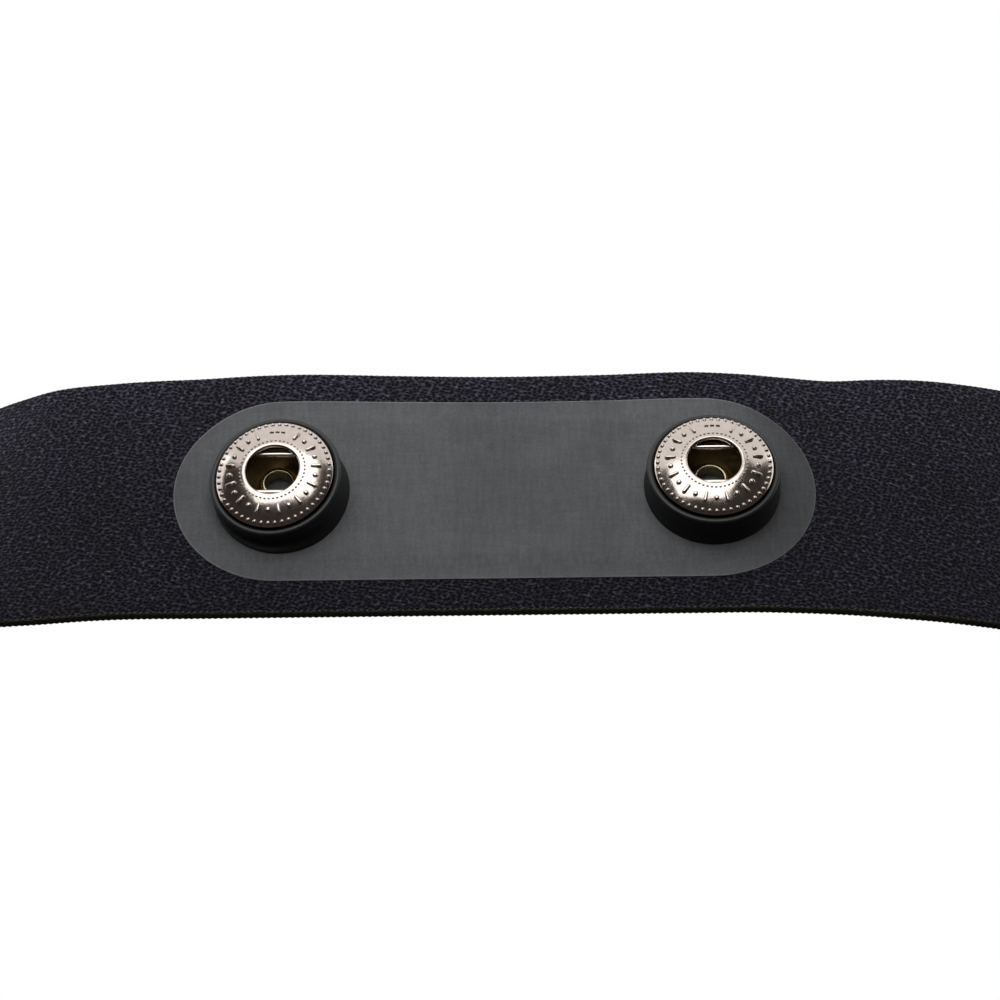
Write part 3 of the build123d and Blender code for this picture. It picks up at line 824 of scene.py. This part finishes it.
# Half length, half width and height of the pressed marks.
BAR = (0.6 * MM, 0.2 * MM, 0.28 * MM)
STUD = (0.3 * MM, 0.26 * MM, 0.26 * MM)
DASH_END = (0.13 * MM, 0.13 * MM, 0.16 * MM)  # two of them side by side make one of the three dashes
MARK_R = 4.68 * MM
MARK_COUNT = 23  # bars and studs by turns
MARK_GAP = radians(27.0)  # left clear at the top for the three dashes
DASH_R = MARK_R + 0.1 * MM
DASH_ANGLE = radians(7.5)
DASH_HALF = radians(1.3)
PILL_SIDES = 16
WIRE_R = 0.3 * MM
WIRE_HALF = 3.3 * MM
WIRE_SPREAD = 2.27 * MM
WIRE_HEIGHT = 4.25 * MM
WIRE_SIDES = 20
# How far the metal leans in its soft boss: downward, and to the right.
SOCKET_TILT = {"left": (radians(5.0), radians(-7.0)), "right": (radians(-1.0), radians(0.0))}
SOCKET_TURN = {"left": radians(5.0), "right": radians(0.0)}  # clockwise, about its own axis
FOOT_FIRM = 1.4 * MM  # from the patch up to where the boss leans with the metal
FOOT_SHIFT = {"left": 0.20 * MM, "right": 0.24 * MM}  # the foot's place, to the right
FOOT_REACH = {"left": 0.10, "right": 0.03}  # how much further down the foot spreads


def dome_height(r):
    """Height of the cap's outer face at radius r, both in metres."""
    at = r / MM
    for (r0, h0), (r1, h1) in zip(DOME, DOME[1:]):
        if at >= r1:
            share = min(1.0, max(0.0, (r0 - at) / (r0 - r1)))
            return (h0 + (h1 - h0) * share) * MM
    return DOME[-1][1] * MM


def on_dome(part, angle, r, level=0.0):
    """Lay a small mesh on the dome at an angle from the top, its first axis pointing outward.

    level is how far its upper face keeps the height of its middle instead of the dome's slope.
    """
    verts, faces = part
    moved = []
    for a, b, c in verts:
        at = r + a
        flat = level if c > 0 else 0.0
        height = dome_height(at) * (1 - flat) + dome_height(r) * flat
        moved.append((at * sin(angle) + b * cos(angle), at * cos(angle) - b * sin(angle), height + c))
    return moved, faces


def pill(half_length, half_width, height):
    """A pressed mark: a short bar with round ends and a soft top edge."""
    verts = []
    levels = ((0.0, -0.3), (0.06, 0.5), (0.35, 0.92), (0.7, 1.0))
    for inset, lift in levels:
        for i in range(PILL_SIDES):
            turn = 2 * pi * (i + 0.5) / PILL_SIDES
            reach = half_width * (1 - inset)
            a = reach * cos(turn) + (half_length - half_width) * (1 if cos(turn) > 0 else -1)
            verts.append((a, reach * sin(turn), height * lift))
    faces = tube_faces(len(levels), PILL_SIDES)
    faces.append(tuple(range(len(verts) - PILL_SIDES, len(verts))))
    return verts, faces


def cap_mesh():
    """Pressed cap: beaded rim, domed band with plain raised marks, fine inner beads, rolled lip."""
    parts = [lathe_mesh(CAP_PROFILE, segments=160)]
    bead = blob_mesh((BEAD_R, BEAD_R, 0.9 * BEAD_R), around=12, up=8)
    parts += [on_dome(bead, 2 * pi * i / BEADS, BEAD_CIRCLE_R, level=0.8) for i in range(BEADS)]
    small = blob_mesh(INNER_BEAD, around=8, up=6)
    parts += [on_dome(small, 2 * pi * i / INNER_BEADS, INNER_CIRCLE_R) for i in range(INNER_BEADS)]
    bar, stud, dash_end = pill(*BAR), pill(*STUD), pill(*DASH_END)
    for i in range(MARK_COUNT):
        angle = MARK_GAP + (2 * pi - 2 * MARK_GAP) * i / (MARK_COUNT - 1)
        parts.append(on_dome(bar if i % 2 == 0 else stud, angle, MARK_R, level=0.5))
    for i in (-1, 0, 1):
        for half in (-1, 1):
            parts.append(on_dome(dash_end, i * DASH_ANGLE + half * DASH_HALF, DASH_R))
    return join_parts(parts)


def wire_mesh(level):
    """One straight leg of the spring, with rounded ends. level is 1 for the upper, -1 for the lower."""
    verts = []
    stations = [(-WIRE_HALF + WIRE_R * (1 - cos(a)), WIRE_R * sin(a)) for a in (0.2, 0.6, 1.0, pi / 2)]
    stations += [(-x, r) for x, r in reversed(stations)]
    for x, r in stations:
        for i in range(WIRE_SIDES):
            turn = 2 * pi * i / WIRE_SIDES
            verts.append((x, level * WIRE_SPREAD + r * cos(turn), WIRE_HEIGHT + r * sin(turn)))
    faces = tube_faces(len(stations), WIRE_SIDES)
    faces.append(tuple(range(WIRE_SIDES)))
    faces.append(tuple(range(len(verts) - WIRE_SIDES, len(verts))))
    return verts, faces


def seated(mesh, side, centre_x):
    """Take a socket piece from its own axes (right, up, out) to the frame.

    It turns about its axis and leans about its foot, and the lower half of the foot spreads.
    """
    placed = []
    foot_x = centre_x + FOOT_SHIFT[side]
    turn = SOCKET_TURN[side]
    for a, b, h in mesh[0]:
        x, z = a * cos(turn) + b * sin(turn), b * cos(turn) - a * sin(turn)
        firm = ease(PATCH_THICKNESS, PATCH_THICKNESS + FOOT_FIRM, h)
        down, aside = (firm * tilt for tilt in SOCKET_TILT[side])
        if z < 0:
            z *= 1 + FOOT_REACH[side] * (1 - firm)
        z, h = z * cos(down) - h * sin(down), h * cos(down) + z * sin(down)
        x, h = x * cos(aside) + h * sin(aside), h * cos(aside) - x * sin(aside)
        placed.append((foot_x + x, FACE_Y - h, MID_Z + z))
    return placed, mesh[1]


for side in ("left", "right"):
    low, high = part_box(f"socket_cap_{side}")
    centre_x = (low.x + high.x) / 2
    for name, mesh, slot, look in (
        ("cap", cap_mesh(), "nickel", nickel),
        ("boss", lathe_mesh(BOSS_PROFILE, segments=128), "boss_rubber", rubber),
        ("cage", lathe_mesh(CAGE_PROFILE, segments=96), "cage_metal", brass),
    ):
        uvs = [(sqrt(a * a + b * b), h) for a, b, h in mesh[0]]  # radius and height
        piece = add_object(f"{name}_{side}_detail", *seated(mesh, side, centre_x), uvs)
        finish_piece(piece, "strap", slot, look, f"socket_{name}_{side}")
    for level, sign in (("upper", 1), ("lower", -1)):
        wire = add_object(f"wire_{side}_{level}_leg", *seated(wire_mesh(sign), side, centre_x))
        wire_node = f"spring_wire_{side}_{level}"
        finish_piece(wire, wire_node, "spring_steel", steel, wire_node)

# --- electrodes and liner on the inner face ---------------------------------------------------

GROOVE_PITCH = 2.4 * MM
GROOVE = 0.14 * MM  # depth of the moulded grooves
GROOVE_MARGIN = 1.5 * MM  # from their ends to the pad's edges
PAD_CORNER = 4.0 * MM
PAD_EDGE = 0.15 * MM
PAD_STEP = 0.3 * MM
PAD_OFFSET = -(TEXTILE + PAD) / 2
LINER_GAP = 0.6 * MM  # between the liner and each electrode


def pad_ribbon(name, start, end, corner, grooves):
    """A pad along the loop with rounded corners, and moulded grooves on its inner face."""

    def section(s):
        from_end = min(s - start, end - s)
        narrow = corner - sqrt(max(0.0, corner ** 2 - max(0.0, corner - from_end) ** 2)) if corner else 0.0
        return cross_section(PAD_WIDTH, PAD, PAD_EDGE, 6, 12, min(narrow, corner * 0.98))

    def shape(point, outward, s, z, t):
        point = laid(point, outward, s, z)
        if grooves and t < -0.9 * PAD / 2 and abs(z) < PAD_WIDTH / 2 - GROOVE_MARGIN:
            wave = cos(2 * pi * (s - start) / GROOVE_PITCH)
            point = point + outward * GROOVE * ease(0.2, 0.9, wave)
        return point

    return ribbon(name, along(start, end, PAD_STEP, PAD_OFFSET), section, shape)


for side, sign in (("left", -1), ("right", 1)):
    ends = sorted((sign * PAD_FROM, sign * PAD_TO))
    pad = pad_ribbon(f"electrode_{side}_pad", *ends, PAD_CORNER, True)
    finish_piece(pad, "strap", "electrode", pad_rubber, f"electrode_{side}")
liner = pad_ribbon("backing_liner_cloth", LINER_GAP - PAD_FROM, PAD_FROM - LINER_GAP, 0.0, False)
finish_piece(liner, "strap", "liner", liner_cloth, "backing_liner")

# --- rear elastic, its return and the wrap ----------------------------------------------------

RUN_OFFSET = -(TEXTILE + ELASTIC) / 2
RUN_TOP = BACK_Y - TEXTILE / 2
RUN_STEP = 1.0 * MM
ELASTIC_CORNER = 0.3 * MM
HOOK_FOLD_REACH = 8.0 * MM  # from the hook's bar to where the fold's two layers lie parallel
HOOK_BAR = (HOOK_X, RUN_TOP + RUN_GAP / 2)
HOOK_FOLD_TIP = (HOOK_X + HOOK_FOLD_REACH, HOOK_BAR[1])
HOOK_FOLD_GAP = 0.2 * MM  # from the end of the straight run to the fold
RETURN_Y = RUN_TOP + RUN_GAP + ELASTIC / 2
RETURN_FROM = HOOK_X + 4.0 * MM  # where the return begins, past the hook's bar
WRAP_FROM = SLIDER_X - 14.0 * MM  # the wrap's sewn end
WRAP_JOIN = SLIDER_X - 8.0 * MM  # where the return becomes the wrap
WRAP_STEP = 0.4 * MM  # along the return and the wrap
WRAP_ARC = 15  # steps of the half turn round the slider's bar
BAR_HALF = 0.8 * MM  # the slider's bar, half its width and height
BAR_PLAY = 0.05 * MM
BAR_Y = RETURN_Y + ELASTIC / 2 + BAR_HALF + BAR_PLAY
WRAP_R = BAR_HALF + BAR_PLAY + ELASTIC / 2
TAIL_GAP = 0.1 * MM  # between the return and the wrap's tail, sewn over it
UPPER_Y = RETURN_Y + ELASTIC + TAIL_GAP


def elastic_section(s):
    """The rear elastic's outline, the same all along."""
    return cross_section(ELASTIC_WIDTH, ELASTIC, ELASTIC_CORNER, 24, 24)


def line_run(start, end):
    """Points (x, y, normal) on a straight line between two points, the normal to its left."""
    length = sqrt((end[0] - start[0]) ** 2 + (end[1] - start[1]) ** 2)
    count = max(2, round(length / WRAP_STEP))
    across = ((start[1] - end[1]) / length, (end[0] - start[0]) / length)
    return [
        (start[0] + (end[0] - start[0]) * i / count, start[1] + (end[1] - start[1]) * i / count, *across)
        for i in range(count + 1)
    ]


# Main run along the back, then round the hook's bar; it stops on the far side of the bar, where
# the return begins.
run = along(SEAM_FROM, back_s(HOOK_FOLD_TIP[0] + HOOK_FOLD_GAP), RUN_STEP, RUN_OFFSET)
run = [(x, y, -nx, -ny, s) for x, y, nx, ny, s in run]
hook_fold = round_bar(HOOK_BAR, EYE_R + ELASTIC / 2, HOOK_FOLD_TIP, (ELASTIC + RUN_GAP) / 2, FOLD_STEP, -1)
leaving, returned = hook_fold[-2], hook_fold[-1]
share = (RETURN_FROM - leaving[0]) / (returned[0] - leaving[0])
handover = tuple(a + (b - a) * share for a, b in zip(leaving[:2], returned[:2]))
around_hook = [(x, y, nx, ny, s + run[-1][4]) for x, y, nx, ny, s in hook_fold[:-1]]
around_hook.append((*handover, leaving[2], leaving[3], around_hook[-1][4] + share * HOOK_FOLD_REACH))
rear = ribbon("rear_elastic_weave", run + around_hook, elastic_section)
finish_piece(rear, "strap", "elastic", elastic, "rear_elastic")

# The return, from the hook's fold to the slider, changes its length as the slider travels.
return_points = line_run(handover, returned[:2])[:-1]
return_points += line_run((returned[0], RETURN_Y), (WRAP_JOIN, RETURN_Y))
back_return = ribbon("adjuster_return_weave", measured(return_points, around_hook[-1][4]), elastic_section)
back_return.data.materials.append(elastic)
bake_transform(back_return)
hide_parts("adjuster_return")

# The wrap: under the slider's centre bar, round it, and back over itself to a sewn tail.
under_bar = line_run((WRAP_JOIN, RETURN_Y), (SLIDER_X + BAR_HALF, RETURN_Y))
wrap_points = [(x, y, -nx, -ny) for x, y, nx, ny in under_bar]
for i in range(1, WRAP_ARC + 1):
    angle = -pi / 2 + pi * i / WRAP_ARC
    nx, ny = cos(angle), sin(angle)
    wrap_points.append((SLIDER_X + BAR_HALF + WRAP_R * nx, BAR_Y + WRAP_R * ny, nx, ny))
descent = atan2(BAR_Y + WRAP_R - UPPER_Y, SLIDER_X - BAR_HALF - WRAP_JOIN)
for angle in (0.0, descent * 0.5, descent):
    nx, ny = -sin(angle), cos(angle)
    wrap_points.append((SLIDER_X - BAR_HALF + WRAP_R * nx, BAR_Y + WRAP_R * ny, nx, ny))
sewn_tail = line_run((WRAP_JOIN - WRAP_STEP, UPPER_Y), (WRAP_FROM, UPPER_Y))
wrap_points.append((WRAP_JOIN, UPPER_Y, 0.0, 1.0))
wrap_points += [(x, y, 0.0, 1.0) for x, y, nx, ny in sewn_tail]
wrap = ribbon("slider_wrap_weave", measured(wrap_points), elastic_section)
finish_piece(wrap, "slider", "elastic", elastic, "slider_wrap")

# --- stitching --------------------------------------------------------------------------------

STITCH = (0.2 * MM, 0.17 * MM, 1.0 * MM)  # half sizes: along the strap, outward, across it
STITCH_COUNT = 8
STITCH_SPAN = 22.0 * MM
STITCH_PROUD = 0.06 * MM  # the thread's middle, above the cloth
# Where the two rows of each seam lie, from the fold, the seam's start and the wrap's sewn end.
RING_ROWS = (1.5 * MM, 4.5 * MM)
SEAM_ROWS = (4.0 * MM, 8.0 * MM)
SLIDER_ROWS = (2.0 * MM, 4.5 * MM)


def stitches(name, body, places, node_name):
    """Rows of thread stitches across the strap. Each place is a point on the face and its normal."""
    parts = []
    rng = random.Random(11)
    for x, y, nx, ny in places:
        for i in range(STITCH_COUNT):
            z = MID_Z + (i - (STITCH_COUNT - 1) / 2) * STITCH_SPAN / STITCH_COUNT
            verts, faces = blob_mesh(STITCH, around=10, up=8)
            skew = rng.uniform(-0.06, 0.06)
            moved = []
            for a, b, c in verts:
                a += skew * c
                moved.append((x - ny * a + nx * b, y + nx * a + ny * b, z + c))
            parts.append((moved, faces))
    finish_piece(add_object(name, *join_parts(parts)), body, "thread", thread, node_name)


def on_loop(s, offset):
    """The point offset outward from the centre line at s, and the outward normal."""
    x, y, heading = loop_at(s)
    return x + offset * sin(heading), y - offset * cos(heading), sin(heading), -cos(heading)


band_face = TEXTILE / 2 + STITCH_PROUD
wrap_face = UPPER_Y + ELASTIC / 2 + STITCH_PROUD
ring_rows = [on_loop(fold_s + at, band_face) for at in RING_ROWS]
seam_rows = [on_loop(SEAM_FROM + at, band_face) for at in SEAM_ROWS]
slider_rows = [(WRAP_FROM + at, wrap_face, 0.0, 1.0) for at in SLIDER_ROWS]
stitches("ring_stitches_thread", "strap", ring_rows, "ring_stitches")
stitches("seam_stitches_thread", "strap", seam_rows, "seam_stitches")
stitches("slider_stitches_thread", "slider", slider_rows, "slider_stitches")

# --- CAD nodes that stay ----------------------------------------------------------------------

KEPT = {"hook": plastic, "loop_ring": plastic, "slider": plastic}
for side in ("left", "right"):
    KEPT[f"socket_post_{side}"] = pale_brass
for name, look in KEPT.items():
    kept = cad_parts[name]
    if not kept.material_slots:
        kept.data.materials.append(look)
    for slot in kept.material_slots:
        slot.material = look
